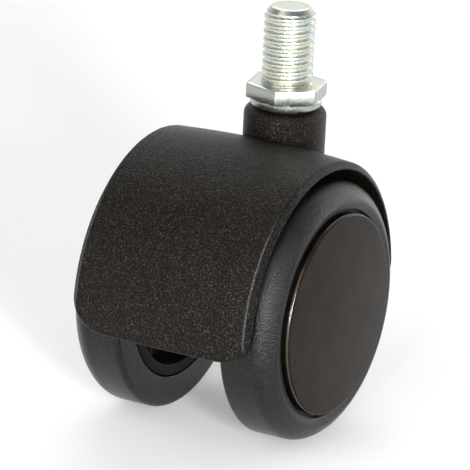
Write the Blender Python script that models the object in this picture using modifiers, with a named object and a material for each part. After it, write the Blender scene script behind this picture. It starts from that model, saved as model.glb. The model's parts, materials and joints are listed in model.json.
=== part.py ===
"""Hooded twin-wheel chair caster on a threaded stem, as separate pieces.

Metres, +Z up. The origin is on the swivel axis, at the top face of the hex
collar, which is the face that seats against the chair's leg. The wheels'
axle lies along X, behind the swivel axis by the trail, on the -Y side.
"""

import math

import bmesh
import bpy
from mathutils import Matrix

MM = 0.001
FIT = 0.3 * MM                  # gap kept between pieces that touch on the real caster

# Driving dimensions
WHEEL_RADIUS = 25.0 * MM
AXLE_DROP = 37.5 * MM           # seat face down to the axle
TRAIL = 16.6 * MM               # swivel axis to the axle
WHEEL_INNER = 10.9 * MM         # middle plane to a wheel's inner side
TREAD_OUTER = 17.7 * MM         # middle plane to where the tread's flat ends
COVER_EDGE = 22.7 * MM          # middle plane to the edge of a wheel cover
COVER_DOME = 0.9 * MM
COVER_RADIUS = 19.4 * MM
GROOVE = 0.6 * MM               # open groove between cover and tyre
TYRE_RIDGE = 21.6 * MM          # radius where the tyre's side turns down into the groove
RIDGE_DROP = 0.5 * MM
RIM_RADIUS = 18.8 * MM
RIM_BORE = 16.7 * MM
WHEEL_HUB_RADIUS = 9.0 * MM
CORE_WEB_INNER = 17.0 * MM      # middle plane to the core's web, inner face
CORE_WEB_OUTER = 18.5 * MM
HUB_OUTER_END = 19.4 * MM       # middle plane to the outer end of a wheel's hub
RIM_END = 20.6 * MM
LOCK_INNER = 15.0 * MM          # bead on the rim that keys the tyre
LOCK_OUTER = 17.0 * MM
LOCK_RISE = 1.2 * MM
RIB_COUNT = 8
RIB_THICKNESS = 1.5 * MM
RIB_START = 14.2 * MM
COVER_WALL = 1.6 * MM
AXLE_RADIUS = 4.0 * MM
AXLE_HALF = 21.3 * MM
CLIP_THICKNESS = 0.8 * MM
BUSH_WALL = 1.0 * MM

HOOD_HALF_WIDTH = 19.2 * MM
HOOD_OUTER = 29.3 * MM          # in the middle plane
HOOD_CROWN = 0.7 * MM           # how much smaller the hood's radius is at its edges
HOOD_INNER = 27.0 * MM
HOOD_EDGE_ROUND = 1.3 * MM
HOOD_SKIRT = 4.2 * MM           # how far the hood reaches below the axle
HOOD_CORNER = 7.0 * MM
WEB_HALF = 2.5 * MM             # half the wall between the wheels
HUB_RADIUS = 8.0 * MM
HUB_HALF = 9.4 * MM
NECK_RADIUS = 7.9 * MM
NECK_TOP = -4.8 * MM
NECK_ROUND = 1.6 * MM
NECK_BOTTOM = -29.6 * MM

THREAD_RADIUS = 4.9 * MM        # M10
THREAD_PITCH = 1.5 * MM
THREAD_DEPTH = 0.9 * MM
THREAD_LENGTH = 15.0 * MM
THREAD_LEAD = 1.5 * MM          # length of the tapered tip
TIP_RADIUS = 3.6 * MM
SHOULDER_LENGTH = 0.9 * MM      # plain length between hex and first thread
HEX_ACROSS_FLATS = 13.8 * MM    # 14 mm spanner size
HEX_HEIGHT = 2.85 * MM
HEX_TURN = math.radians(12.9)   # how far the collar is turned on the stem
FLANGE_RADIUS = 6.8 * MM
FLANGE_BOTTOM = -4.4 * MM
SHANK_RADIUS = 4.5 * MM
SHANK_BOTTOM = -26.0 * MM
SLEEVE_WALL = 0.9 * MM
WASHER_THICKNESS = 1.0 * MM

WHEEL_STEPS = 40
SMALL_STEPS = 24

FINISHES = {
    "zinc": ((0.56, 0.57, 0.54), 0.30, 1.0),
    "nylon": ((0.026, 0.022, 0.018), 0.48, 0.0),
    "tyre": ((0.045, 0.045, 0.047), 0.55, 0.0),
    "cover": ((0.035, 0.028, 0.024), 0.40, 0.0),
    "core": ((0.020, 0.018, 0.015), 0.50, 0.0),
    "acetal": ((0.42, 0.42, 0.40), 0.40, 0.0),
    "spring_steel": ((0.10, 0.10, 0.11), 0.35, 1.0),
    "ground_steel": ((0.50, 0.50, 0.51), 0.25, 1.0),
}


def clear_scene():
    """Remove every object that the file starts with."""
    for thing in list(bpy.data.objects):
        bpy.data.objects.remove(thing, do_unlink=True)


def new_collection(name):
    """Add a collection to the scene."""
    group = bpy.data.collections.new(name)
    bpy.context.scene.collection.children.link(group)
    return group


def material(name):
    """Return the Principled material of a finish, made once."""
    found = bpy.data.materials.get(name)
    if found:
        return found
    colour, roughness, metallic = FINISHES[name]
    made = bpy.data.materials.new(name)
    made.use_nodes = True
    shader = made.node_tree.nodes["Principled BSDF"]
    shader.inputs["Base Color"].default_value = (*colour, 1.0)
    shader.inputs["Roughness"].default_value = roughness
    shader.inputs["Metallic"].default_value = metallic
    return made


def arc(centre, radius, start, end, count, rise=None):
    """Points of an arc from start to end degrees; rise makes it an ellipse."""
    rise = radius if rise is None else rise
    points = []
    for i in range(count + 1):
        angle = math.radians(start + (end - start) * i / count)
        points.append((centre[0] + radius * math.cos(angle), centre[1] + rise * math.sin(angle)))
    return points


class Caster:
    """The collections and the joint empties that every piece goes into."""

    def __init__(self):
        self.parts = new_collection("chair_caster")
        self.cutters = new_collection("cutters")
        self.swivel = self.empty("swivel_axis", (0.0, 0.0, 0.0), None)
        axle = (0.0, -TRAIL, -AXLE_DROP)
        self.rolls = {
            side: self.empty(f"roll_axis_{side}", axle, self.swivel) for side in ("left", "right")
        }

    def empty(self, name, place, parent):
        """Add an empty on a joint's axis."""
        marker = bpy.data.objects.new(name, None)
        marker.location = place
        marker.parent = parent
        self.parts.objects.link(marker)
        return marker

    def piece(self, name, mesh, finish, parent, matrix=None):
        """Add a mesh as a named piece with its finish, in its parent's frame."""
        made = bpy.data.objects.new(name, mesh)
        made.parent = parent
        if matrix:
            made.matrix_local = matrix
        mesh.materials.append(material(finish))
        self.parts.objects.link(made)
        return made

    def cutter(self, name, mesh, parent, matrix=None):
        """Add a mesh that only shapes other pieces."""
        made = bpy.data.objects.new(name, mesh)
        made.parent = parent
        if matrix:
            made.matrix_local = matrix
        made.hide_render = True
        made.display_type = "WIRE"
        self.cutters.objects.link(made)
        return made


def outline_mesh(name, points, closed):
    """An edge chain in the XZ plane from (radius, height) points."""
    mesh = bpy.data.meshes.new(name)
    vertices = [(radius, 0.0, height) for radius, height in points]
    edges = [(i, i + 1) for i in range(len(points) - 1)]
    if closed:
        edges.append((len(points) - 1, 0))
    mesh.from_pydata(vertices, edges, [])
    return mesh


def spin(thing, steps):
    """Turn a piece's outline about its own Z axis."""
    screw = thing.modifiers.new("turn", "SCREW")
    screw.steps = steps
    screw.render_steps = steps
    screw.use_merge_vertices = True
    screw.merge_threshold = 0.00001
    return thing


def boolean(thing, cutter, operation):
    """Cut or join a piece with a cutter."""
    cut = thing.modifiers.new(f"{operation.lower()} {cutter.name}", "BOOLEAN")
    cut.object = cutter
    cut.operation = operation
    cut.solver = "EXACT"


def box_mesh(name, size):
    """A box about its own middle."""
    made = bmesh.new()
    bmesh.ops.create_cube(made, size=1.0, matrix=Matrix.Diagonal((*size, 1.0)))
    mesh = bpy.data.meshes.new(name)
    made.to_mesh(mesh)
    made.free()
    return mesh


def prism_mesh(name, radius, depth, sides):
    """A prism about its own Z axis, its radius out to the corners."""
    made = bmesh.new()
    bmesh.ops.create_cone(
        made, cap_ends=True, segments=sides, radius1=radius, radius2=radius, depth=depth
    )
    mesh = bpy.data.meshes.new(name)
    made.to_mesh(mesh)
    made.free()
    return mesh


def slab_mesh(name, points, depth):
    """A flat outline in the XZ plane, given depth along Y about its own middle."""
    made = bmesh.new()
    near = [made.verts.new((x, -depth / 2, z)) for x, z in points]
    face = made.faces.new(near)
    grown = bmesh.ops.extrude_face_region(made, geom=[face])
    moved = [item for item in grown["geom"] if isinstance(item, bmesh.types.BMVert)]
    bmesh.ops.translate(made, verts=moved, vec=(0.0, depth, 0.0))
    bmesh.ops.recalc_face_normals(made, faces=made.faces)
    mesh = bpy.data.meshes.new(name)
    made.to_mesh(mesh)
    made.free()
    return mesh


def along_axle(side):
    """Turn a piece so that its own +Z points out along the axle on one side."""
    return Matrix.Rotation(math.radians(90.0 if side == "right" else -90.0), 4, "Y")


def thread_outline():
    """The threaded pin from its tapered tip down to the plain shoulder."""
    points = [(0.0, THREAD_LENGTH), (TIP_RADIUS, THREAD_LENGTH)]
    root = THREAD_RADIUS - THREAD_DEPTH
    lead_start = THREAD_LENGTH - THREAD_LEAD
    height = THREAD_LENGTH - 0.3 * THREAD_PITCH
    while height > SHOULDER_LENGTH + THREAD_PITCH:
        taper = max(0.0, height - lead_start) / THREAD_LEAD
        crest = THREAD_RADIUS - taper * (THREAD_RADIUS - TIP_RADIUS)
        points.append((crest, height))
        points.append((crest, height - 0.15 * THREAD_PITCH))
        points.append((min(root, crest - 0.2 * MM), height - 0.55 * THREAD_PITCH))
        height -= THREAD_PITCH
    points.append((THREAD_RADIUS, SHOULDER_LENGTH))
    points.append((THREAD_RADIUS, -0.5 * HEX_HEIGHT))
    return points


def ring_groove_height():
    """Middle height of the stem's retaining ring."""
    return 0.8 * SHANK_BOTTOM


def shank_outline():
    """Flange, shank, ring groove and domed foot, from the hex downwards."""
    groove = ring_groove_height()
    half = 0.8 * MM
    depth = 0.8 * MM
    dome = 1.2 * MM
    points = [
        (FLANGE_RADIUS - 0.3 * MM, -HEX_HEIGHT),
        (FLANGE_RADIUS, -HEX_HEIGHT - 0.3 * MM),
        (FLANGE_RADIUS, FLANGE_BOTTOM + 0.3 * MM),
        (FLANGE_RADIUS - 0.3 * MM, FLANGE_BOTTOM),
        (SHANK_RADIUS, FLANGE_BOTTOM),
        (SHANK_RADIUS, groove + half),
        (SHANK_RADIUS - depth, groove + half),
        (SHANK_RADIUS - depth, groove - half),
        (SHANK_RADIUS, groove - half),
    ]
    points += arc((0.0, SHANK_BOTTOM + dome), SHANK_RADIUS, 0.0, -90.0, 4, dome)
    return points


def threaded_stem(caster):
    """The chair's fixing: threaded pin, hex collar, flange and shank in one."""
    points = thread_outline()
    points.append((FLANGE_RADIUS - 0.3 * MM, -0.5 * HEX_HEIGHT))
    points += shank_outline()
    stem = caster.piece("threaded_stem", outline_mesh("threaded_stem", points, False), "zinc", None)
    spin(stem, SMALL_STEPS)
    corner = HEX_ACROSS_FLATS / 2 / math.cos(math.pi / 6)
    turned = Matrix.Translation((0.0, 0.0, -HEX_HEIGHT / 2)) @ Matrix.Rotation(HEX_TURN, 4, "Z")
    collar = caster.cutter(
        "hex_collar", prism_mesh("hex_collar", corner, HEX_HEIGHT, 6), None, turned
    )
    boolean(stem, collar, "UNION")
    return stem


def split_ring(caster, name, inner, outer, thickness, parent, matrix, finish):
    """A flat retaining ring with a gap in it, about its own Z axis."""
    half = thickness / 2
    points = [(outer, half), (outer, -half), (inner, -half), (inner, half)]
    ring = caster.piece(name, outline_mesh(name, points, True), finish, parent, matrix)
    spin(ring, SMALL_STEPS)
    slot = box_mesh(f"{name}_slot", (2 * outer, 2.4 * MM, 4 * thickness))
    place = matrix @ Matrix.Translation((outer, 0.0, 0.0))
    boolean(ring, caster.cutter(f"{name}_slot", slot, parent, place), "DIFFERENCE")
    return ring


def bored_ring(caster, name, inner, outer, low, high, finish, parent, matrix=None):
    """A washer, bush or sleeve from low to high along its own Z axis."""
    points = [(outer, high), (outer, low), (inner, low), (inner, high)]
    ring = caster.piece(name, outline_mesh(name, points, True), finish, parent, matrix)
    return spin(ring, SMALL_STEPS)


def stem_bearings(caster):
    """The ring on the stem, and the washer, sleeve and wear disc it turns in."""
    groove = ring_groove_height()
    bore = bore_radius()
    split_ring(
        caster, "stem_snap_ring", SHANK_RADIUS - 0.5 * MM, bore - FIT, 1.0 * MM,
        None, Matrix.Translation((0.0, 0.0, groove)), "spring_steel",
    )
    running = SHANK_RADIUS + FIT
    washer_top = FLANGE_BOTTOM - FIT
    washer_bottom = washer_top - WASHER_THICKNESS
    bored_ring(
        caster, "stem_washer", running, running + SLEEVE_WALL,
        washer_bottom, washer_top, "nylon", caster.swivel,
    )
    bored_ring(
        caster, "stem_sleeve", running, running + SLEEVE_WALL,
        groove + 1.1 * MM, washer_bottom - FIT, "acetal", caster.swivel,
    )
    disc = [(0.0, 0.0), (bore - FIT, 0.0), (bore - FIT, -1.0 * MM), (0.0, -1.0 * MM)]
    mesh = outline_mesh("wear_disc", disc, False)
    place = Matrix.Translation((0.0, 0.0, SHANK_BOTTOM - FIT))
    spin(caster.piece("wear_disc", mesh, "ground_steel", caster.swivel, place), SMALL_STEPS)


def bore_radius():
    """Radius of the housing's bore around the stem's sleeve."""
    return SHANK_RADIUS + SLEEVE_WALL + 2 * FIT


def hood_outline():
    """Half section of the hood and the wall between the wheels, turned about the axle."""
    points = [(0.0, WEB_HALF), (HOOD_INNER, WEB_HALF), (HOOD_INNER, HOOD_HALF_WIDTH)]
    edge = HOOD_HALF_WIDTH - HOOD_EDGE_ROUND
    points += arc((HOOD_OUTER - HOOD_CROWN - HOOD_EDGE_ROUND, edge), HOOD_EDGE_ROUND, 90.0, 0.0, 3)
    for share in (2 / 3, 1 / 3):
        points.append((HOOD_OUTER - HOOD_CROWN * share**2, share * edge))
    lower = [(radius, -along) for radius, along in reversed(points)]
    return points + lower


def hood_window():
    """Front view of the hood: a wide outline whose lower corners are rounded."""
    side = HOOD_HALF_WIDTH + 1.0 * MM
    top = HOOD_OUTER + 1.0 * MM
    low = -HOOD_SKIRT
    radius = HOOD_CORNER + 1.0 * MM
    points = [(-side, top)]
    points += arc((-side + radius, low + radius), radius, 180.0, 270.0, 5)
    points += arc((side - radius, low + radius), radius, 270.0, 360.0, 5)
    points.append((side, top))
    return points


def housing(caster):
    """Hood, neck, wall between the wheels and axle hub, moulded as one."""
    axle = Matrix.Translation((0.0, -TRAIL, -AXLE_DROP))
    along = axle @ along_axle("right")
    shell = caster.piece(
        "housing", outline_mesh("housing", hood_outline(), False), "nylon", caster.swivel, along
    )
    spin(shell, WHEEL_STEPS)
    window = slab_mesh("hood_window", hood_window(), 2.4 * HOOD_OUTER)
    boolean(shell, caster.cutter("hood_window", window, caster.swivel, axle), "INTERSECT")

    hub = prism_mesh("axle_hub", HUB_RADIUS, 2 * HUB_HALF, SMALL_STEPS)
    boolean(shell, caster.cutter("axle_hub", hub, caster.swivel, along), "UNION")

    neck_points = [(0.0, NECK_TOP)]
    corner = (NECK_RADIUS - NECK_ROUND, NECK_TOP - NECK_ROUND)
    neck_points += arc(corner, NECK_ROUND, 90.0, 0.0, 3)
    neck_points += [(NECK_RADIUS, NECK_BOTTOM), (0.0, NECK_BOTTOM)]
    neck = caster.cutter("neck", outline_mesh("neck", neck_points, False), caster.swivel)
    boolean(shell, spin(neck, WHEEL_STEPS), "UNION")

    bore_bottom = SHANK_BOTTOM - 2 * FIT - 1.0 * MM
    bore = prism_mesh("stem_bore", bore_radius(), NECK_TOP - bore_bottom + 2.0 * MM, SMALL_STEPS)
    middle = Matrix.Translation((0.0, 0.0, (NECK_TOP + bore_bottom) / 2 + 1.0 * MM))
    boolean(shell, caster.cutter("stem_bore", bore, caster.swivel, middle), "DIFFERENCE")

    hole = prism_mesh("axle_bore", AXLE_RADIUS + FIT, 3 * HUB_HALF, SMALL_STEPS)
    boolean(shell, caster.cutter("axle_bore", hole, caster.swivel, along), "DIFFERENCE")
    return shell


def axle_parts(caster):
    """The axle with its grooves, and a spacer and a clip at each end."""
    groove = 0.5 * MM
    chamfer = 0.4 * MM
    clip_middle = HUB_OUTER_END + FIT + CLIP_THICKNESS / 2
    half = CLIP_THICKNESS / 2 + FIT
    upper = [
        (0.0, AXLE_HALF),
        (AXLE_RADIUS - chamfer, AXLE_HALF),
        (AXLE_RADIUS, AXLE_HALF - chamfer),
        (AXLE_RADIUS, clip_middle + half),
        (AXLE_RADIUS - groove, clip_middle + half),
        (AXLE_RADIUS - groove, clip_middle - half),
        (AXLE_RADIUS, clip_middle - half),
    ]
    lower = [(radius, -height) for radius, height in reversed(upper)]
    place = Matrix.Translation((0.0, -TRAIL, -AXLE_DROP)) @ along_axle("right")
    mesh = outline_mesh("axle", upper + lower, False)
    spin(caster.piece("axle", mesh, "ground_steel", caster.swivel, place), SMALL_STEPS)
    for side in ("left", "right"):
        out = Matrix.Translation((0.0, -TRAIL, -AXLE_DROP)) @ along_axle(side)
        bored_ring(
            caster, f"axle_spacer_{side}", AXLE_RADIUS + FIT, 7.0 * MM,
            HUB_HALF + FIT, WHEEL_INNER - FIT, "acetal", caster.swivel, out,
        )
        split_ring(
            caster, f"axle_clip_{side}", AXLE_RADIUS - groove + FIT, 6.4 * MM, CLIP_THICKNESS,
            caster.swivel, out @ Matrix.Translation((0.0, 0.0, clip_middle)), "spring_steel",
        )


def core_outline():
    """Section of a wheel core: rim with a locking bead, web and hub."""
    bead = RIM_RADIUS + LOCK_RISE
    bore = AXLE_RADIUS + BUSH_WALL + 2 * FIT
    return [
        (RIM_RADIUS, RIM_END),
        (RIM_RADIUS, LOCK_OUTER),
        (bead, LOCK_OUTER),
        (bead, LOCK_INNER),
        (RIM_RADIUS, LOCK_INNER),
        (RIM_RADIUS, WHEEL_INNER),
        (RIM_BORE, WHEEL_INNER),
        (RIM_BORE, CORE_WEB_INNER),
        (WHEEL_HUB_RADIUS, CORE_WEB_INNER),
        (WHEEL_HUB_RADIUS, WHEEL_INNER),
        (bore, WHEEL_INNER),
        (bore, HUB_OUTER_END),
        (WHEEL_HUB_RADIUS, HUB_OUTER_END),
        (WHEEL_HUB_RADIUS, CORE_WEB_OUTER),
        (RIM_BORE, CORE_WEB_OUTER),
        (RIM_BORE, RIM_END),
    ]


def tyre_outline():
    """Section of a tyre: flat tread, round shoulder, ridge, lip and the rim's seat."""
    seat = RIM_RADIUS + FIT
    lip = COVER_RADIUS + GROOVE
    side_round = 1.0 * MM
    shoulder_in = 9.7 * MM
    shoulder_out = 5.6 * MM
    shoulder_middle = (WHEEL_RADIUS - shoulder_in, TREAD_OUTER)
    ridge_angle = math.degrees(math.acos((TYRE_RIDGE - shoulder_middle[0]) / shoulder_in))
    shoulder = arc(shoulder_middle, shoulder_in, ridge_angle, 0.0, 7, shoulder_out)
    points = [(lip, shoulder[0][1] - RIDGE_DROP)] + shoulder
    inner_corner = (WHEEL_RADIUS - side_round, WHEEL_INNER + side_round)
    points += arc(inner_corner, side_round, 0.0, -90.0, 3)
    points += [
        (seat, WHEEL_INNER),
        (seat, LOCK_INNER - FIT),
        (seat + LOCK_RISE, LOCK_INNER - FIT),
        (seat + LOCK_RISE, LOCK_OUTER + FIT),
        (seat, LOCK_OUTER + FIT),
        (seat, RIM_END),
        (lip, RIM_END),
    ]
    return points


def cover_outline():
    """Section of a wheel cover: shallow dome with a spigot that enters the rim."""
    spigot = RIM_BORE - FIT
    spigot_wall = 1.0 * MM
    under = COVER_EDGE - COVER_WALL
    edge_round = 0.3 * MM
    steps = 4

    def dome(radius, base):
        return (radius, base + COVER_DOME * (1 - (radius / COVER_RADIUS) ** 2))

    points = [dome(COVER_RADIUS * i / steps, COVER_EDGE) for i in range(steps)]
    points.append((COVER_RADIUS - edge_round, COVER_EDGE))
    points.append((COVER_RADIUS, COVER_EDGE - edge_round))
    points.append((COVER_RADIUS, under))
    points.append((spigot, under))
    points.append((spigot, CORE_WEB_OUTER + FIT))
    points.append((spigot - spigot_wall, CORE_WEB_OUTER + FIT))
    points.append(dome(spigot - spigot_wall, under))
    points.append(dome(spigot / 2, under))
    points.append((0.0, under + COVER_DOME))
    return points


def wheel(caster, side):
    """One wheel: core, tyre, bush and cover, all about their roll axis."""
    roll = caster.rolls[side]
    out = along_axle(side)
    core = caster.piece(
        f"wheel_core_{side}", outline_mesh(f"wheel_core_{side}", core_outline(), True),
        "core", roll, out,
    )
    spin(core, WHEEL_STEPS)
    reach = (WHEEL_HUB_RADIUS + RIM_BORE) / 2
    length = RIM_BORE - WHEEL_HUB_RADIUS + 1.2 * MM
    height = CORE_WEB_INNER - RIB_START + 0.6 * MM
    for number in range(RIB_COUNT):
        turn = Matrix.Rotation(math.radians((number + 0.5) * 360.0 / RIB_COUNT), 4, "Z")
        place = out @ turn @ Matrix.Translation((reach, 0.0, RIB_START + height / 2))
        rib = box_mesh(f"rib_{side}_{number}", (length, RIB_THICKNESS, height))
        boolean(core, caster.cutter(f"rib_{side}_{number}", rib, roll, place), "UNION")

    tyre = outline_mesh(f"tyre_{side}", tyre_outline(), True)
    spin(caster.piece(f"tyre_{side}", tyre, "tyre", roll, out), WHEEL_STEPS)
    cover = outline_mesh(f"wheel_cover_{side}", cover_outline(), False)
    spin(caster.piece(f"wheel_cover_{side}", cover, "cover", roll, out), WHEEL_STEPS)
    bored_ring(
        caster, f"hub_bush_{side}", AXLE_RADIUS + FIT, AXLE_RADIUS + FIT + BUSH_WALL,
        WHEEL_INNER, HUB_OUTER_END, "acetal", roll, out,
    )


def smooth_parts(caster):
    """Shade the round faces of every piece smooth, and keep its edges sharp."""
    for thing in caster.parts.objects:
        if thing.type == "MESH":
            thing.data.shade_smooth()
            thing.data.set_sharp_from_angle(angle=math.radians(35.0))


def main():
    """Build the whole caster."""
    clear_scene()
    caster = Caster()
    threaded_stem(caster)
    stem_bearings(caster)
    housing(caster)
    axle_parts(caster)
    for side in ("left", "right"):
        wheel(caster, side)
    smooth_parts(caster)


main()
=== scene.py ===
"""Hooded twin-wheel chair caster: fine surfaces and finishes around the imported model.

Metres, +Z up. The origin is on the swivel axis, at the top face of the hex
collar. The axle lies along X, the hood's front faces -Y. Every visible piece
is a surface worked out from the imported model's own boxes and joints.
"""

import json
import logging
import math
from dataclasses import dataclass, field
from enum import Enum

import bpy
import numpy as np
from mathutils import Matrix, Vector


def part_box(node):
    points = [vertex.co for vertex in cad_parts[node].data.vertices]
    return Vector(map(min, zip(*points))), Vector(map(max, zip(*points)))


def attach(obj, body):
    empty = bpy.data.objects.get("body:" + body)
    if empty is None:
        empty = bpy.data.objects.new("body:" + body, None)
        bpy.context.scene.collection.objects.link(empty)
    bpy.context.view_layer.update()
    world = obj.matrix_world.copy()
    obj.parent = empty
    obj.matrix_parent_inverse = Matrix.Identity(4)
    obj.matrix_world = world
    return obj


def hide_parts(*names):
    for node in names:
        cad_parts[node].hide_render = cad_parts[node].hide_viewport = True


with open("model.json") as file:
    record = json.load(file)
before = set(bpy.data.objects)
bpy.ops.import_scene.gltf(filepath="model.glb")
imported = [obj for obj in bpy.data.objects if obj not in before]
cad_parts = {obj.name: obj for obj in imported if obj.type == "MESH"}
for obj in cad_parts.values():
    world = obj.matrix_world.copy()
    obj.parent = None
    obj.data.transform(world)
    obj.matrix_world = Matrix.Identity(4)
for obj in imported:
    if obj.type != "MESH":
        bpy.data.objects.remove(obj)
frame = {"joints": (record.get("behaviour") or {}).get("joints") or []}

LOG = logging.getLogger("caster")
MM = 0.001
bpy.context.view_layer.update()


# ---------------------------------------------------------------- measures

def joint_place(name: str) -> Vector:
    """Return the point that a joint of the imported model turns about."""
    found = next(joint for joint in frame["joints"] if joint["name"] == name)
    return Vector(found["pos_m"])


AXLE_Y = joint_place("right_roll").y
AXLE_Z = joint_place("right_roll").z


class Side(Enum):
    """The two ends of the axle, with the sign of X on that side."""

    LEFT = -1
    RIGHT = 1

    @property
    def word(self) -> str:
        """The side's name as the nodes spell it."""
        return self.name.lower()


def node_reach(node: str, side: Side) -> tuple[float, float]:
    """How far from the middle plane a node starts and ends on one side.

    Args:
        node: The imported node's name.
        side: The side of the middle plane that it is measured on.

    Returns:
        The near end and the far end.
    """
    low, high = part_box(node)
    ends = sorted((side.value * low[0], side.value * high[0]))
    return ends[0], ends[1]


# ---------------------------------------------------------------- surfaces

def grid_quads(rows: int, columns: int, wrap_rows: bool, wrap_columns: bool) -> np.ndarray:
    """Quads of a grid of vertices numbered row by row.

    Args:
        rows: Number of rows.
        columns: Number of columns.
        wrap_rows: Whether the last row joins the first.
        wrap_columns: Whether the last column joins the first.

    Returns:
        An array of four vertex numbers per quad.
    """
    i = np.arange(rows if wrap_rows else rows - 1)[:, None]
    j = np.arange(columns if wrap_columns else columns - 1)[None, :]
    down, along = (i + 1) % rows, (j + 1) % columns
    corners = [i * columns + j, i * columns + along, down * columns + along, down * columns + j]
    return np.stack([np.broadcast_to(c, (i.size, j.size)) for c in corners], axis=-1).reshape(-1, 4)


def signed_volume(vertices: np.ndarray, faces: list[list[int]]) -> float:
    """Six times the volume inside a closed surface, negative if it is inside out.

    Each face is cut into triangles from its first corner, and the triple
    products of the triangles' corners are added up.

    Args:
        vertices: Points of the surface.
        faces: Vertex numbers of each face.

    Returns:
        The sum of the triple products.
    """
    fans = []
    for size in {len(face) for face in faces}:
        same = np.array([face for face in faces if len(face) == size])
        for step in range(1, size - 1):
            fans.append(same[:, [0, step, step + 1]])
    tri = vertices[np.concatenate(fans)]
    return float(np.einsum("ij,ij->i", tri[:, 0], np.cross(tri[:, 1], tri[:, 2])).sum())


def mesh_object(name: str, vertices: np.ndarray, faces: list[list[int]]) -> bpy.types.Object:
    """Make a closed surface into an object at the origin, its faces pointing out.

    Args:
        name: The object's name.
        vertices: Points of the surface.
        faces: Vertex numbers of each face.

    Returns:
        The new object.
    """
    if signed_volume(vertices, faces) < 0:
        faces = [face[::-1] for face in faces]
    mesh = bpy.data.meshes.new(name)
    mesh.from_pydata(vertices.tolist(), [], faces)
    mesh.validate()
    made = bpy.data.objects.new(name, mesh)
    bpy.context.scene.collection.objects.link(made)
    return made


def rounded_outline(corners: list[tuple[float, float, float]], closed: bool,
                    steps: int = 6) -> np.ndarray:
    """Turn corners into a fine outline with a fillet at each corner that has one.

    A fillet of radius f between two straight runs starts f * tan(turn / 2)
    before the corner and follows the circle that touches both runs.

    Args:
        corners: Radius, height along the axis, and fillet radius of each corner.
        closed: Whether the last corner joins the first.
        steps: Segments in a fillet.

    Returns:
        An array of (radius, height) points.
    """
    places = np.array([corner[:2] for corner in corners])
    pieces = []
    count = len(corners)
    for index, (radius, height, fillet) in enumerate(corners):
        here = places[index]
        at_end = not closed and index in (0, count - 1)
        if fillet <= 0 or at_end:
            pieces.append(here[None, :])
            continue
        back = places[index - 1] - here
        ahead = places[(index + 1) % count] - here
        back, ahead = back / np.linalg.norm(back), ahead / np.linalg.norm(ahead)
        half = math.acos(float(np.clip(back @ ahead, -1, 1))) / 2
        centre = here + (back + ahead) / np.linalg.norm(back + ahead) * fillet / math.sin(half)
        start = here + back * fillet / math.tan(half) - centre
        end = here + ahead * fillet / math.tan(half) - centre
        sweep = math.acos(float(np.clip(start @ end / fillet**2, -1, 1)))
        share = np.linspace(0, 1, steps + 1)[:, None]
        pieces.append(
            centre + (np.sin((1 - share) * sweep) * start + np.sin(share * sweep) * end)
            / math.sin(sweep)
        )
    return np.concatenate(pieces)


def ring_outline(inner: float, outer: float, low: float, high: float,
                 edge: float) -> np.ndarray:
    """Outline of a flat ring with the same fillet at its four corners.

    Args:
        inner: Radius of its bore.
        outer: Radius of its outside.
        low: Where it starts along the axis.
        high: Where it ends along the axis.
        edge: Fillet radius.

    Returns:
        An array of (radius, height) points.
    """
    return rounded_outline([
        (outer, high, edge), (outer, low, edge), (inner, low, edge), (inner, high, edge),
    ], True, 3)


def plug_outline(radius: float, low: float, high: float, low_edge: float = 0.0,
                 high_edge: float = 0.0, steps: int = 4) -> np.ndarray:
    """Outline of a solid round bar that is closed on the axis at both ends.

    Args:
        radius: Radius of the bar.
        low: Where it starts along the axis.
        high: Where it ends along the axis.
        low_edge: Fillet radius at its start.
        high_edge: Fillet radius at its end.
        steps: Segments in a fillet.

    Returns:
        An array of (radius, height) points.
    """
    return rounded_outline([
        (0, high, 0), (radius, high, high_edge), (radius, low, low_edge), (0, low, 0),
    ], False, steps)


def wrapped(name: str, points: np.ndarray, poles: np.ndarray | None,
            turn: Matrix) -> bpy.types.Object:
    """Make rows of points that each go once round into a closed surface.

    Args:
        name: The object's name.
        points: The points, as rows by columns by three.
        poles: The points that close the first and the last row, or None for a
            ring, whose last row joins its first.
        turn: Where the local frame goes.

    Returns:
        The new object.
    """
    rows, columns = points.shape[:2]
    vertices = points.reshape(-1, 3)
    faces = grid_quads(rows, columns, poles is None, True).tolist()
    if poles is not None:
        around = np.arange(columns)
        ahead = (around + 1) % columns
        last = (rows - 1) * columns
        top, foot = len(vertices), len(vertices) + 1
        vertices = np.concatenate([vertices, poles])
        faces += np.stack([ahead, around, around * 0 + top], axis=1).tolist()
        faces += np.stack([last + around, last + ahead, around * 0 + foot], axis=1).tolist()
    matrix = np.array(turn)
    return mesh_object(name, vertices @ matrix[:3, :3].T + matrix[:3, 3], faces)


def turned(name: str, outline: np.ndarray, columns: int, turn: Matrix) -> bpy.types.Object:
    """Turn an outline about its axis into a closed surface.

    The point at angle a is (radius cos a, radius sin a, height), placed by a
    matrix. An outline that starts and ends on the axis closes in two poles,
    and any other closes on itself as a ring.

    Args:
        name: The object's name.
        outline: (radius, height) points.
        columns: Number of points around the axis.
        turn: Where the local Z axis goes.

    Returns:
        The new object.
    """
    angle = np.linspace(0, 2 * math.pi, columns, endpoint=False)
    ring = outline[0, 0] > 0
    body = outline if ring else outline[1:-1]
    radius, height = body[:, :1], body[:, 1:]
    points = np.stack(
        [radius * np.cos(angle), radius * np.sin(angle), height + 0 * angle], axis=-1
    )
    poles = None if ring else np.array([[0, 0, outline[0, 1]], [0, 0, outline[-1, 1]]])
    return wrapped(name, points, poles, turn)


def axle_frame(side: Side) -> Matrix:
    """Matrix that lays a turned piece along the axle, its +Z pointing out on one side."""
    tilt = Matrix.Rotation(math.radians(90.0 * side.value), 4, "Y")
    return Matrix.Translation((0.0, AXLE_Y, AXLE_Z)) @ tilt


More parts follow.
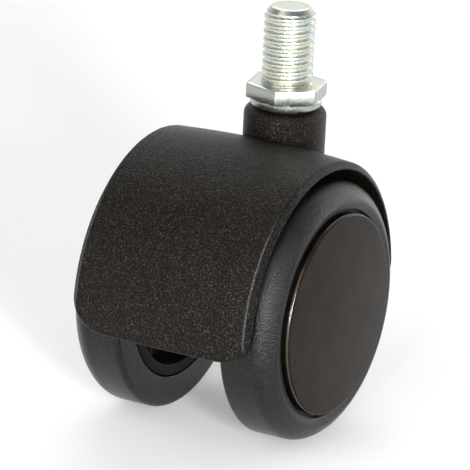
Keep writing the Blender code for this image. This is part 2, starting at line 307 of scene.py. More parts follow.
def solid_box(name: str, size: tuple[float, float, float], place: Matrix) -> bpy.types.Object:
    """Make a plain cutting or joining block about the middle of a placed frame.

    Args:
        name: The object's name.
        size: Its extents in its own frame.
        place: Where that frame goes.

    Returns:
        The new object.
    """
    corners = np.array(np.meshgrid([-0.5, 0.5], [-0.5, 0.5], [-0.5, 0.5])).reshape(3, -1).T
    matrix = np.array(place)
    vertices = (corners * np.array(size)) @ matrix[:3, :3].T + matrix[:3, 3]
    faces = [[0, 1, 3, 2], [4, 6, 7, 5], [0, 4, 5, 1], [2, 3, 7, 6], [0, 2, 6, 4], [1, 5, 7, 3]]
    return mesh_object(name, vertices, faces)


def combine(base: bpy.types.Object, others: list[bpy.types.Object], operation: str) -> None:
    """Join other solids to a base or cut them from it, and remove them.

    Args:
        base: The solid that is kept.
        others: The solids that are used up.
        operation: "UNION" to join, "DIFFERENCE" to cut.
    """
    for other in others:
        step = base.modifiers.new("combine", "BOOLEAN")
        step.object = other
        step.operation = operation
        step.solver = "EXACT"
    reader = base.evaluated_get(bpy.context.evaluated_depsgraph_get())
    mesh = bpy.data.meshes.new_from_object(reader)
    base.modifiers.clear()
    base.data = mesh
    for other in others:
        bpy.data.objects.remove(other, do_unlink=True)


# ---------------------------------------------------------------- finishes

def linear(colour: str) -> tuple[float, float, float, float]:
    """Turn an sRGB hex colour into a linear one.

    Args:
        colour: The colour as "#rrggbb".

    Returns:
        Linear red, green and blue, and full alpha.
    """
    parts = [int(colour[i:i + 2], 16) / 255 for i in (1, 3, 5)]
    bent = [p / 12.92 if p <= 0.04045 else ((p + 0.055) / 1.055) ** 2.4 for p in parts]
    return (*bent, 1.0)


def add_node(tree: bpy.types.NodeTree, kind: str, settings: dict | None = None,
             **links: bpy.types.NodeSocket) -> bpy.types.Node:
    """Add a node with its settings and links.

    Args:
        tree: The node tree.
        kind: The node's type name.
        settings: Attribute or input names with their values.
        links: Input names, with _ for a space, and the outputs they take.

    Returns:
        The new node.
    """
    made = tree.nodes.new(kind)
    for name, value in (settings or {}).items():
        if isinstance(name, int) or name in made.inputs:
            made.inputs[name].default_value = value
        else:
            setattr(made, name, value)
    for name, socket in links.items():
        key = int(name[1:]) if name[0] == "i" and name[1:].isdigit() else name.replace("_", " ")
        tree.links.new(socket, made.inputs[key])
    return made


# Lower and upper value between which a noise texture mostly stays.
NOISE_LOW, NOISE_HIGH = 0.3, 0.7
# Period of a wave texture whose scale is one.
WAVE_PERIOD = 0.314


@dataclass(frozen=True)
class Finish:
    """What every finish has: a name, a slot, colours, gloss and a grain.

    The grain is fractal noise whose lumps are grain_mm across. It lifts the
    surface by relief_mm and changes the roughness by spread. Where it is over
    fleck_from the colour goes towards the fleck colour, up to fleck_share of
    the way, and the specular level towards fleck_specular: the lighter fleck
    colour is partly the grain's own tone and partly painted glints. A coarser
    noise, blotch_mm across, makes the colour lighter and darker by blotch.
    """

    name: str
    slot: str
    base: str
    fleck: str
    roughness: float
    grain_mm: float
    relief_mm: float
    spread: float = 0.08
    fleck_from: float = 0.60
    fleck_soft: float = 0.14
    fleck_share: float = 0.5
    blotch_mm: float = 6.0
    blotch: float = 0.15
    ior: float = 1.5
    specular: float = 0.5
    fleck_specular: float = 0.5
    metallic: float = 0.0

    def build(self) -> bpy.types.Material:
        """Make the finish's material the first time it is asked for.

        Returns:
            The material.
        """
        found = bpy.data.materials.get(self.name)
        if found:
            return found
        made = bpy.data.materials.new(self.name)
        made.use_nodes = True
        tree = made.node_tree
        shader = tree.nodes["Principled BSDF"]
        shader.inputs["IOR"].default_value = self.ior
        shader.inputs["Specular IOR Level"].default_value = self.specular
        shader.inputs["Metallic"].default_value = self.metallic
        place = add_node(tree, "ShaderNodeTexCoord").outputs["Object"]
        self.dress(tree, shader, place)
        return made

    def flecked(self, tree: bpy.types.NodeTree, noise: bpy.types.NodeSocket
                ) -> bpy.types.NodeSocket:
        """Take the base colour towards the fleck colour where a noise is high.

        Args:
            tree: The node tree.
            noise: The noise's value.

        Returns:
            The mixed colour.
        """
        share = add_node(tree, "ShaderNodeMapRange", {
            "From Min": self.fleck_from, "From Max": self.fleck_from + self.fleck_soft,
            "To Max": self.fleck_share,
        }, Value=noise)
        mixed = add_node(tree, "ShaderNodeMix", {
            "data_type": "RGBA", 6: linear(self.base), 7: linear(self.fleck),
        }, Factor=share.outputs["Result"])
        return mixed.outputs[2]

    def shade(self, tree: bpy.types.NodeTree, shader: bpy.types.Node,
              colour: bpy.types.NodeSocket, strength: bpy.types.NodeSocket) -> None:
        """Link a colour times a strength to the shader's base colour.

        Args:
            tree: The node tree.
            shader: The surface shader.
            colour: The colour before it is made lighter or darker.
            strength: What it is multiplied by.
        """
        scaled = add_node(tree, "ShaderNodeVectorMath", {"operation": "SCALE"},
                          i0=colour, Scale=strength)
        tree.links.new(scaled.outputs["Vector"], shader.inputs["Base Color"])

    def vary_gloss(self, tree: bpy.types.NodeTree, shader: bpy.types.Node,
                   grain: bpy.types.NodeSocket) -> None:
        """Let the roughness follow the grain, by spread to each side.

        Args:
            tree: The node tree.
            shader: The surface shader.
            grain: The grain's value.
        """
        gloss = add_node(tree, "ShaderNodeMapRange", {
            "From Min": NOISE_LOW, "From Max": NOISE_HIGH,
            "To Min": self.roughness - self.spread, "To Max": self.roughness + self.spread,
        }, Value=grain)
        tree.links.new(gloss.outputs["Result"], shader.inputs["Roughness"])

    def dress(self, tree: bpy.types.NodeTree, shader: bpy.types.Node,
              place: bpy.types.NodeSocket) -> None:
        """Link colour, roughness, specular level and relief to the shader.

        Args:
            tree: The node tree.
            shader: The surface shader.
            place: Object coordinates.
        """
        grain = add_node(tree, "ShaderNodeTexNoise", {
            "Scale": 1 / (self.grain_mm * MM), "Detail": 2.0, "Roughness": 0.6,
        }, Vector=place).outputs["Fac"]
        cloud = add_node(tree, "ShaderNodeTexNoise", {
            "Scale": 1 / (self.blotch_mm * MM), "Detail": 3.0, "Roughness": 0.55,
        }, Vector=place)
        blotches = add_node(tree, "ShaderNodeMapRange", {
            "From Min": NOISE_LOW, "From Max": NOISE_HIGH,
            "To Min": 1 - self.blotch, "To Max": 1 + self.blotch,
        }, Value=cloud.outputs["Fac"])
        # The lighter fleck colour on the grain's tops is partly the grain's own tone and partly
        # painted glints.
        self.shade(tree, shader, self.flecked(tree, grain), blotches.outputs["Result"])
        self.vary_gloss(tree, shader, grain)
        glint = add_node(tree, "ShaderNodeMapRange", {
            "From Min": self.fleck_from, "From Max": self.fleck_from + self.fleck_soft,
            "To Min": self.specular, "To Max": self.fleck_specular,
        }, Value=grain)
        tree.links.new(glint.outputs["Result"], shader.inputs["Specular IOR Level"])
        relief = add_node(tree, "ShaderNodeBump", {
            "Strength": 1.0, "Distance": self.relief_mm * MM,
        }, Height=grain)
        tree.links.new(relief.outputs["Normal"], shader.inputs["Normal"])


@dataclass(frozen=True)
class RimmedNylon(Finish):
    """Nylon whose rims were polished in the tool, rim_mm from the middle plane.

    The rim's corner is a glossy line, line_mm to each side, between the two
    heights of line_span_mm. The wall beside it is painted darker, as shade: the
    wall outside the line when painted_shade_side is 1, and the wall inside it
    when it is -1.
    """

    rim_mm: float = 18.0
    line_mm: float = 0.24
    line_gloss: float = 0.20
    line_specular: float = 1.0
    line_span_mm: tuple[float, float] = (-40.0, -14.0)
    line_fade_mm: float = 6.0
    painted_shade_side: float = 1.0
    wall_painted_shade: float = 0.40

    def dress(self, tree: bpy.types.NodeTree, shader: bpy.types.Node,
              place: bpy.types.NodeSocket) -> None:
        """Dress the grained faces, then polish the rims and paint shade on the walls beside them.

        Args:
            tree: The node tree.
            shader: The surface shader.
            place: Object coordinates.
        """
        super().dress(tree, shader, place)
        parts = add_node(tree, "ShaderNodeSeparateXYZ", {}, Vector=place)
        away = add_node(tree, "ShaderNodeMath", {"operation": "ABSOLUTE"}, i0=parts.outputs["X"])
        off = add_node(tree, "ShaderNodeMath", {
            "operation": "SUBTRACT", 1: self.rim_mm * MM,
        }, i0=away.outputs["Value"])
        gap = add_node(tree, "ShaderNodeMath", {"operation": "ABSOLUTE"}, i0=off.outputs["Value"])
        line = add_node(tree, "ShaderNodeMapRange", {
            "From Min": 0.5 * self.line_mm * MM, "From Max": self.line_mm * MM,
            "To Min": 1.0, "To Max": 0.0,
        }, Value=gap.outputs["Value"])
        foot, head = self.line_span_mm
        for start, end in ((foot, foot + self.line_fade_mm), (head, head - self.line_fade_mm)):
            fade = add_node(tree, "ShaderNodeMapRange", {
                "From Min": start * MM, "From Max": end * MM,
            }, Value=parts.outputs["Z"])
            line = add_node(tree, "ShaderNodeMath", {"operation": "MULTIPLY"},
                            i0=line.outputs[0], i1=fade.outputs["Result"])
        # Painted shade: the wall beside the rim's line is darkened, outside it on the hood and
        # inside it on the cover.
        wall = add_node(tree, "ShaderNodeMapRange", {
            "From Min": 0.0, "From Max": self.painted_shade_side * self.line_mm * MM,
            "To Min": 1.0, "To Max": self.wall_painted_shade,
        }, Value=off.outputs["Value"])
        goals = {"Roughness": self.line_gloss, "Specular IOR Level": self.line_specular}
        for key, goal in goals.items():
            plain = shader.inputs[key].links[0].from_socket
            mixed = add_node(tree, "ShaderNodeMix", {3: goal}, i0=line.outputs[0], i2=plain)
            tree.links.new(mixed.outputs[0], shader.inputs[key])
        colour = shader.inputs["Base Color"].links[0].from_socket
        self.shade(tree, shader, colour, wall.outputs["Result"])


# Glass-filled nylon moulded in a spark-eroded tool: deep brown-black, with a pebbled
# grain whose tops catch the light as flecks, partly as painted glints in the colour;
# the bevel outside the rim's glossy line is painted darker, as shade.
NYLON = RimmedNylon("spark_eroded_nylon", "nylon", "#0e0a05", "#3b3428", 0.34, 0.27, 0.26,
                    fleck_from=0.55, fleck_share=0.30, specular=0.09, fleck_specular=0.70)
# Polyurethane tread, cast on the core: satin blue-grey, its fine grain flecked lighter, partly as
# painted glints.
TREAD = Finish("cast_polyurethane", "tyre", "#0c0c0d", "#3a3a42", 0.22, 0.30, 0.19,
               spread=0.05, fleck_from=0.57, fleck_share=0.20, blotch=0.08, specular=0.25,
               fleck_specular=0.7)
# Cover moulded in a finely blasted tool: smooth, warm brown-black, a soft sheen; its side wall
# inside the rim is painted darker, as shade.
COVER = RimmedNylon("blasted_nylon_cover", "cover", "#150f08", "#30271d", 0.30, 0.25, 0.010,
                    fleck_share=0.25, blotch=0.40, specular=0.08, fleck_specular=0.30,
                    rim_mm=22.30, line_mm=0.26, line_span_mm=(-60.0, -16.0), painted_shade_side=-1.0)
# Plain moulded nylon of the wheel cores.
CORE = Finish("moulded_nylon_core", "core", "#0c0c08", "#181712", 0.55, 0.5, 0.01,
              fleck_share=0.2, specular=0.08, fleck_specular=0.1)
# Acetal sleeves, bushes and spacers: ivory, slippery, faintly waxy.
ACETAL = Finish("moulded_acetal", "acetal", "#b6b5ac", "#c8c7be", 0.38, 0.6, 0.004, ior=1.48)
# Oil-blackened spring steel of the rings.
SPRING = Finish("blackened_spring_steel", "spring_steel", "#3a3a3c", "#5c5c60", 0.36, 0.3, 0.006,
                metallic=1.0)
# Ground steel of the axle and wear disc.
GROUND = Finish("ground_steel", "ground_steel", "#b4b5b8", "#d2d3d6", 0.26, 0.15, 0.003,
                metallic=1.0)


@dataclass(frozen=True)
class ZincPlate(Finish):
    """Bright zinc on turned steel: bluish white with straw-yellow bands.

    The bands, in the fleck colour, are noise stretched round the axis, so they
    follow the turning, and a fine ring-shaped ripple is the tool's feed marks.
    The collar, and everything below its top, is painted darker, as shade, so it
    shows less light than the rolled thread above it.
    """

    collar_painted_shade: float = 0.70
    collar_top_mm: float = 0.0
    collar_fade_mm: float = 0.2
    feed_mm: float = 0.22
    band_mm: float = 2.2
    band_stretch: tuple[float, float, float] = (0.6, 0.6, 1.6)

    def dress(self, tree: bpy.types.NodeTree, shader: bpy.types.Node,
              place: bpy.types.NodeSocket) -> None:
        """Link the plate's tints, gloss and feed marks to the shader.

        Args:
            tree: The node tree.
            shader: The surface shader.
            place: Object coordinates.
        """
        bands = add_node(tree, "ShaderNodeMapping", {"Scale": self.band_stretch}, Vector=place)
        tint = add_node(tree, "ShaderNodeTexNoise", {
            "Scale": 1 / (self.band_mm * MM), "Detail": 2.0,
        }, Vector=bands.outputs["Vector"])
        height = add_node(tree, "ShaderNodeSeparateXYZ", {}, Vector=place).outputs["Z"]
        # Painted shade: the collar and everything below its top is darkened, fading in over
        # collar_fade_mm.
        painted_collar_shade = add_node(tree, "ShaderNodeMapRange", {
            "From Min": (self.collar_top_mm - self.collar_fade_mm) * MM,
            "From Max": self.collar_top_mm * MM,
            "To Min": self.collar_painted_shade, "To Max": 1.0,
        }, Value=height)
        self.shade(tree, shader, self.flecked(tree, tint.outputs["Fac"]), painted_collar_shade.outputs["Result"])
        grain = add_node(tree, "ShaderNodeTexNoise", {
            "Scale": 1 / (self.grain_mm * MM), "Detail": 2.0,
        }, Vector=place).outputs["Fac"]
        self.vary_gloss(tree, shader, grain)
        feed = add_node(tree, "ShaderNodeTexWave", {
            "wave_type": "BANDS", "bands_direction": "Z",
            "Scale": WAVE_PERIOD / (self.feed_mm * MM),
            "Distortion": 1.5, "Detail": 1.0,
        }, Vector=place)
        both = add_node(tree, "ShaderNodeMath", {"operation": "ADD"},
                        i0=feed.outputs["Fac"], i1=grain)
        relief = add_node(tree, "ShaderNodeBump", {
            "Strength": 0.6, "Distance": self.relief_mm * MM,
        }, Height=both.outputs["Value"])
        tree.links.new(relief.outputs["Normal"], shader.inputs["Normal"])


# Bright zinc of the stem: bluish white, with straw-yellow passivation bands.
ZINC = ZincPlate("bright_zinc_plate", "zinc", "#c4cbc6", "#d6cfa8", 0.30, 0.5, 0.002,
                 spread=0.05, fleck_from=0.45, fleck_soft=0.23, fleck_share=0.6, metallic=1.0)


# ---------------------------------------------------------------- pieces

def settle(piece: bpy.types.Object, finish: Finish, body: str, node: str,
           sharp: float = 35.0) -> bpy.types.Object:
    """Dress a finished piece, let it ride on its body and stand for its node.

    Args:
        piece: The new object.
        finish: Its finish.
        body: The body it rides on.
        node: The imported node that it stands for.
        sharp: Edges that turn by more degrees than this stay sharp.

    Returns:
        The same object.
    """
    piece.data.materials.clear()
    piece.data.materials.append(finish.build())
    piece.data.shade_smooth()
    piece.data.set_sharp_from_angle(angle=math.radians(sharp))
    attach(piece, body)
    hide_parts(node)
    LOG.info("%s: %d faces, %s", piece.name, len(piece.data.polygons), finish.name)
    return piece


@dataclass
class Stem:
    """The zinc-plated fixing: threaded pin, hex collar, flange and shank."""

    pitch: float = 1.5 * MM
    crest: float = 4.9 * MM
    thread_depth: float = 0.46 * MM
    shoulder: float = 0.35 * MM
    lead: float = 1.5 * MM
    tip: float = 3.6 * MM
    tip_edge: float = 0.12 * MM
    tip_face: float = 3.5 * MM
    crest_share: float = 0.13
    flank_share: float = 0.24
    fade_share: float = 0.3
    across_flats: float = 13.8 * MM
    hex_height: float = 2.85 * MM
    hex_corner_deg: float = 42.9
    hex_edge: float = 0.16 * MM
    corner_round: float = 0.35 * MM
    flange: float = 6.8 * MM
    flange_bottom: float = -4.4 * MM
    shank: float = 4.5 * MM
    groove_place: float = 0.8
    groove_half: float = 0.8 * MM
    groove_depth: float = 0.8 * MM
    foot_dome: float = 1.2 * MM
    crowd: float = 0.7
    sharp_deg: float = 28.0
    columns: int = 192
    rows_per_turn: int = 20
    top: float = field(init=False)
    bottom: float = field(init=False)

    def __post_init__(self) -> None:
        """Take the pin's top and the shank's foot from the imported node."""
        low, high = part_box("threaded_stem")
        self.bottom, self.top = low[2], high[2]

    def angles(self) -> np.ndarray:
        """Angles round the stem, crowded at the hex's corners.

        The even angle u is shifted by -(k / 6) sin 6(u - corner), where k is
        crowd, so the spacing at a corner shrinks to 1 - k of the even one.

        Returns:
            One angle per column.
        """
        even = np.linspace(0, 2 * math.pi, self.columns, endpoint=False)
        even = even + math.radians(self.hex_corner_deg)
        return even - self.crowd / 6 * np.sin(6 * (even - math.radians(self.hex_corner_deg)))

    def hex_radius(self, angle: np.ndarray) -> np.ndarray:
        """Distance to the hexagon's outline, its corners rounded by a circle.

        On a flat it is apothem / cos(angle from the flat's middle). Near a
        corner it is the far crossing of the ray with the corner's circle.

        Args:
            angle: Angles round the stem.

        Returns:
            The distance at each angle.
        """
        apothem = self.across_flats / 2
        sixth = math.pi / 3
        off = (angle - math.radians(self.hex_corner_deg) + sixth / 2) % sixth - sixth / 2
        flat = apothem / np.cos(sixth / 2 - np.abs(off))
        inner = (apothem - self.corner_round) / math.cos(sixth / 2)
        under = np.maximum(self.corner_round**2 - (inner * np.sin(off)) ** 2, 0)
        round_part = inner * np.cos(off) + np.sqrt(under)
        on_flat = apothem * np.tan(sixth / 2 - np.abs(off)) <= inner * math.sin(sixth / 2)
        return np.where(on_flat, flat, round_part)

    def thread(self, angle: np.ndarray) -> tuple[np.ndarray, np.ndarray]:
        """Radius and height of the helical thread, from the tip down to the shoulder.

        The height above the helix, in pitches, is height / pitch - angle / turn.
        The crest and the root are nearly flat, as rolling leaves them, and
        short smooth flanks join them. The groove fades out just above the
        shoulder, and the tapered tip cuts it off.

        Args:
            angle: Angles round the stem.

        Returns:
            Radius and height, each with a row per height and a column per angle.
        """
        rows = int((self.top - self.shoulder) / self.pitch * self.rows_per_turn)
        height = np.linspace(self.top - self.tip_edge, self.shoulder, rows)[:, None]
        phase = height / self.pitch - angle[None, :] / (2 * math.pi)
        from_crest = np.abs(phase - np.round(phase))
        flank = np.clip((from_crest - self.crest_share) / self.flank_share, 0, 1)
        groove = flank * flank * (3 - 2 * flank)
        fade = np.clip((height - self.shoulder) / (self.fade_share * self.pitch), 0, 1)
        radius = self.crest - self.thread_depth * groove * fade
        taper = self.tip + (self.top - height) * (self.crest - self.tip) / self.lead
        return np.minimum(radius, taper), height + 0 * angle[None, :]

    def below_thread(self, angle: np.ndarray) -> tuple[np.ndarray, np.ndarray]:
        """Radius and height of the rows from the shoulder to the shank's foot.

        The rows go over the collar's top face, down its six flats, round the
        flange, down the shank with its ring groove, and over an elliptical
        dome to the foot.

        Args:
            angle: Angles round the stem.

        Returns:
            Radius and height, each with a row per height and a column per angle.
        """
        edge = self.hex_edge
        hex_out = self.hex_radius(angle)
        groove = self.groove_place * self.bottom
        rows: list[tuple[np.ndarray | float, float]] = [
            (self.crest, 0.12 * MM),
            (self.crest + 0.1 * MM, 0.0),
            (0.5 * (self.crest + hex_out), 0.0),
            (hex_out - edge, 0.0),
            (hex_out - 0.3 * edge, -0.3 * edge),
            (hex_out, -edge),
            (hex_out, -0.5 * self.hex_height),
            (hex_out, -self.hex_height + edge),
            (hex_out - 0.3 * edge, -self.hex_height + 0.3 * edge),
            (hex_out - edge, -self.hex_height),
            (self.flange - 0.32 * MM, -self.hex_height - 0.02 * MM),
            (self.flange - 0.10 * MM, -self.hex_height - 0.12 * MM),
            (self.flange, -self.hex_height - 0.30 * MM),
            (self.flange, self.flange_bottom + 0.38 * MM),
            (self.flange - 0.10 * MM, self.flange_bottom + 0.14 * MM),
            (self.flange - 0.34 * MM, self.flange_bottom),
            (self.shank + 0.1 * MM, self.flange_bottom),
            (self.shank, self.flange_bottom - 0.1 * MM),
            (self.shank, groove + self.groove_half),
            (self.shank - self.groove_depth, groove + self.groove_half),
            (self.shank - self.groove_depth, groove - self.groove_half),
            (self.shank, groove - self.groove_half),
        ]
        for swing in np.linspace(0, 1, 9)[:-1] * math.pi / 2:
            rise = self.foot_dome * (1 - math.sin(swing))
            rows.append((self.shank * math.cos(swing), self.bottom + rise))
        radius = np.stack([np.broadcast_to(row[0], angle.shape) for row in rows])
        height = np.stack([np.full(angle.shape, row[1]) for row in rows])
        return radius, height

    def build(self) -> None:
        """Make the stem as one surface of rows from its tip to its foot."""
        angle = self.angles()
        cap_radius = np.array([0.5, 0.85, 0.97])[:, None] * self.tip_face
        cap_height = np.array([0.0, 0.0, 0.02])[:, None] * MM
        thread_radius, thread_height = self.thread(angle)
        low_radius, low_height = self.below_thread(angle)
        radius = np.concatenate([cap_radius + 0 * angle, thread_radius, low_radius])
        height = np.concatenate([self.top - cap_height + 0 * angle, thread_height, low_height])
        points = np.stack([radius * np.cos(angle), radius * np.sin(angle), height], axis=-1)
        poles = np.array([[0, 0, self.top], [0, 0, self.bottom]])
        piece = wrapped("plated_stem", points, poles, Matrix.Identity(4))
        settle(piece, ZINC, "stem", "threaded_stem", self.sharp_deg)


@dataclass
class StemBearings:
    """The ring on the stem, and the washer, sleeve and disc that it turns in."""

    running: float = 4.8 * MM
    snap_inner: float = 4.0 * MM
    gap_length: float = 11.4 * MM
    gap_width: float = 2.4 * MM
    gap_height: float = 4.0 * MM
    columns: int = 96
    edge: float = 0.12 * MM

    def ring(self, name: str, node: str, inner: float) -> bpy.types.Object:
        """Make a flat ring that fills a node's box, round an inner radius.

        Args:
            name: The object's name.
            node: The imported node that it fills.
            inner: Radius of its bore.

        Returns:
            The new object.
        """
        low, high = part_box(node)
        outline = ring_outline(inner, (high[1] - low[1]) / 2, low[2], high[2], self.edge)
        return turned(name, outline, self.columns, Matrix.Identity(4))

    def build(self) -> None:
        """Make the four pieces about the swivel axis."""
        settle(self.ring("seal_washer", "stem_washer", self.running), NYLON,
               "swivel_housing", "stem_washer")
        settle(self.ring("swivel_sleeve", "stem_sleeve", self.running), ACETAL,
               "swivel_housing", "stem_sleeve")
        low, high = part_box("wear_disc")
        outline = plug_outline((high[1] - low[1]) / 2, low[2], high[2], self.edge, self.edge, 3)
        disc = turned("foot_disc", outline, self.columns, Matrix.Identity(4))
        settle(disc, GROUND, "swivel_housing", "wear_disc")
        snap = self.ring("snap_ring", "stem_snap_ring", self.snap_inner)
        low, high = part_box("stem_snap_ring")
        middle = (high[0] + low[0] + self.gap_length / 2, 0.0, (low[2] + high[2]) / 2)
        size = (self.gap_length, self.gap_width, self.gap_height)
        combine(snap, [solid_box("gap", size, Matrix.Translation(middle))], "DIFFERENCE")
        settle(snap, SPRING, "stem", "stem_snap_ring")


@dataclass
class Housing:
    """Hood, neck, wall between the wheels and axle hub, moulded as one."""

    inner: float = 27.0 * MM
    crown: float = 0.7 * MM
    rim_width: float = 1.3 * MM
    rim_lip: float = 0.3 * MM
    bevel_start: float = 0.34
    bevel_end: float = 0.86
    bevel_round: float = 0.70 * MM
    lip_round: float = 0.25 * MM
    skirt: float = 4.2 * MM
    corner: float = 7.0 * MM
    web_half: float = 2.5 * MM
    web_rise: float = 0.4 * MM
    hub_radius: float = 8.0 * MM
    hub_half: float = 9.4 * MM
    edge_round: float = 0.4 * MM
    neck_radius: float = 7.9 * MM
    neck_round: float = 1.6 * MM
    neck_bottom: float = -29.6 * MM
    boss_round: float = 0.5 * MM
    bore_radius: float = 6.0 * MM
    bore_bottom: float = -27.6 * MM
    axle_bore: float = 4.3 * MM
    columns: int = 36
    round_columns: int = 120
    bore_columns: int = 96
    web_columns: int = 160
    side_rows: int = 150
    corner_rows: int = 12
    half_width: float = field(init=False)
    outer: float = field(init=False)
    neck_top: float = field(init=False)

    def __post_init__(self) -> None:
        """Take the hood's width and radius and the neck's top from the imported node."""
        low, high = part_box("housing")
        self.half_width = high[0]
        self.outer = AXLE_Y - low[1]
        self.neck_top = high[2]

    def side_line(self, inset: float) -> tuple[np.ndarray, np.ndarray]:
        """Right-hand edge of the hood, unrolled flat, from its front to its back.

        It is a rounded rectangle: a quarter circle, a straight side and a
        quarter circle again.

        Args:
            inset: How far inside the hood's outline the line runs.

        Returns:
            (arc length, x) points from the middle of the hood, and their outward normals.
        """
        reach = self.outer * (math.pi / 2 + math.asin(self.skirt / self.outer)) - inset
        half = self.half_width - inset
        radius = self.corner - inset
        swing = np.linspace(0, math.pi / 2, self.corner_rows + 1)
        middle = np.linspace(-reach + radius, reach - radius, self.side_rows)[1:-1]
        front = np.stack([-np.cos(swing), np.sin(swing)], axis=1)
        back = np.stack([np.sin(swing), np.cos(swing)], axis=1)
        straight = np.tile([0.0, 1.0], (len(middle), 1))
        normals = np.concatenate([front, straight, back])
        points = np.concatenate([
            np.array([-reach + radius, half - radius]) + radius * front,
            np.stack([middle, np.full(len(middle), half)], axis=1),
            np.array([reach - radius, half - radius]) + radius * back,
        ])
        return points, normals

    def crowned(self, across: np.ndarray) -> np.ndarray:
        """Outer radius of the hood at a distance from the middle plane.

        It falls by crown * (x / edge) squared, where the edge is the start of
        the rim's bevel.

        Args:
            across: Distances from the middle plane.

        Returns:
            The radius at each of them.
        """
        edge = self.half_width - self.rim_width
        return self.outer - self.crown * np.minimum(np.abs(across) / edge, 1.0) ** 2

    def rolled(self, flat: np.ndarray, radius: np.ndarray | float) -> np.ndarray:
        """Roll (arc length, x) points round the axle at a radius.

        The arc length over the outer radius is the angle from the top, so
        y = axle + r sin(angle) and z = axle + r cos(angle).

        Args:
            flat: (arc length, x) points.
            radius: Distance from the axle, for all of them or each.

        Returns:
            The points in space.
        """
        angle = flat[..., 0] / self.outer
        return np.stack([
            flat[..., 1],
            AXLE_Y + radius * np.sin(angle),
            AXLE_Z + radius * np.cos(angle),
        ], axis=-1)

    def rim(self, line: np.ndarray, normals: np.ndarray) -> np.ndarray:
        """Carry the bevelled section of the rim round the hood's outline.

        The section is (distance outwards, depth into the wall): a tight round
        at the outer face, a flat bevel and a round at the inner face.

        Args:
            line: (arc length, x) points where the bevel starts.
            normals: Their outward normals.

        Returns:
            The points in space, with a row for each point of the section.
        """
        wall = self.outer - self.crown - self.inner
        section = rounded_outline([
            (0, 0, 0), (self.bevel_start * self.rim_width, 0, self.bevel_round),
            (self.rim_width, self.bevel_end * wall, self.lip_round),
            (self.rim_width - self.rim_lip, wall, 0),
        ], False, 8)[1:]
        outer = self.crowned(line[:, 1])
        radius = outer - section[:, 1:] / wall * (outer - self.inner)
        return self.rolled(line + section[:, :1, None] * normals, radius)

    def hood(self) -> bpy.types.Object:
        """Make the hood as two rolled grids joined by a bevelled rim.

        A grid's row runs straight across from the right-hand edge to its
        mirror image, so the two faces follow the rounded outline exactly. The
        rim's section is carried round the outline between them.

        Returns:
            The hood, closed all round.
        """
        across = np.linspace(-1, 1, self.columns)
        line, normals = self.side_line(self.rim_width)
        rows = len(line)
        flat = np.stack([
            np.broadcast_to(line[:, :1], (rows, self.columns)), line[:, 1:] * across,
        ], axis=-1)
        outer_face = self.rolled(flat, self.crowned(flat[..., 1]))
        row, column = np.arange(rows), np.arange(self.columns)
        loop = np.concatenate([
            row * self.columns + self.columns - 1,
            (rows - 1) * self.columns + column[-2::-1],
            row[-2::-1] * self.columns,
            column[1:-1],
        ])
        inside = self.columns - 2
        loop_normals = np.concatenate([
            normals, np.tile([1.0, 0.0], (inside, 1)),
            (normals * [1.0, -1.0])[::-1], np.tile([-1.0, 0.0], (inside, 1)),
        ])
        strip = self.rim(flat.reshape(-1, 2)[loop], loop_normals)
        inner_line, _ = self.side_line(self.rim_lip)
        inner_flat = np.stack([
            np.broadcast_to(inner_line[:, :1], (rows, self.columns)), inner_line[:, 1:] * across,
        ], axis=-1)
        inner_face = self.rolled(inner_flat, self.inner)
        count, total = len(loop), rows * self.columns
        first = np.arange(count) + 2 * total
        vertices = np.concatenate([
            outer_face.reshape(-1, 3), inner_face.reshape(-1, 3), strip[:-1].reshape(-1, 3),
        ])
        bands = len(strip) - 1
        outer_quads = grid_quads(rows, self.columns, False, False)
        inner_quads = outer_quads[:, ::-1] + total
        strip_quads = grid_quads(bands, count, False, True)[:, ::-1] + 2 * total
        ahead = (np.arange(count) + 1) % count
        joint_out = np.stack([loop, first, first[ahead], loop[ahead]], axis=1)
        last = first + (bands - 1) * count
        joint_in = np.stack([last, loop + total, loop[ahead] + total, last[ahead]], axis=1)
        faces = np.concatenate([outer_quads, inner_quads, strip_quads, joint_out, joint_in])
        return mesh_object("hood", vertices, faces.tolist())

    def neck(self) -> bpy.types.Object:
        """Make the neck and the boss under it.

        Returns:
            The neck as a solid bar.
        """
        outline = plug_outline(self.neck_radius, self.neck_bottom, self.neck_top,
                               self.boss_round, self.neck_round, 10)
        return turned("neck", outline, self.round_columns, Matrix.Identity(4))

    def web(self) -> bpy.types.Object:
        """Make the wall between the wheels, cut off just above the skirt's edge.

        Returns:
            The wall as a disc with a flat foot.
        """
        outline = plug_outline(0.5 * (self.outer + self.inner), -self.web_half, self.web_half)
        disc = turned("web", outline, self.web_columns, axle_frame(Side.RIGHT))
        depth = self.skirt - self.web_rise
        place = Matrix.Translation((0.0, AXLE_Y, AXLE_Z - depth - self.outer))
        size = (4 * self.web_half, 3 * self.outer, 2 * self.outer)
        combine(disc, [solid_box("floor_cut", size, place)], "DIFFERENCE")
        return disc

    def bores(self) -> list[bpy.types.Object]:
        """Make the solids that the two bores take away.

        Returns:
            The stem's bore and the axle's bore.
        """
        over = 1.0 * MM
        bore = plug_outline(self.bore_radius, self.bore_bottom, self.neck_top + over,
                            self.edge_round)
        hole = plug_outline(self.axle_bore, -self.hub_half - over, self.hub_half + over)
        return [
            turned("stem_bore", bore, self.round_columns, Matrix.Identity(4)),
            turned("axle_bore", hole, self.bore_columns, axle_frame(Side.RIGHT)),
        ]

    def build(self) -> None:
        """Join hood, wall, hub and neck, and bore them."""
        shell = self.hood()
        outline = plug_outline(self.hub_radius, -self.hub_half, self.hub_half,
                               self.edge_round, self.edge_round)
        hub = turned("axle_hub", outline, self.round_columns, axle_frame(Side.RIGHT))
        combine(shell, [self.web(), hub, self.neck()], "UNION")
        combine(shell, self.bores(), "DIFFERENCE")
        shell.name = "hooded_housing"
        settle(shell, NYLON, "swivel_housing", "housing")


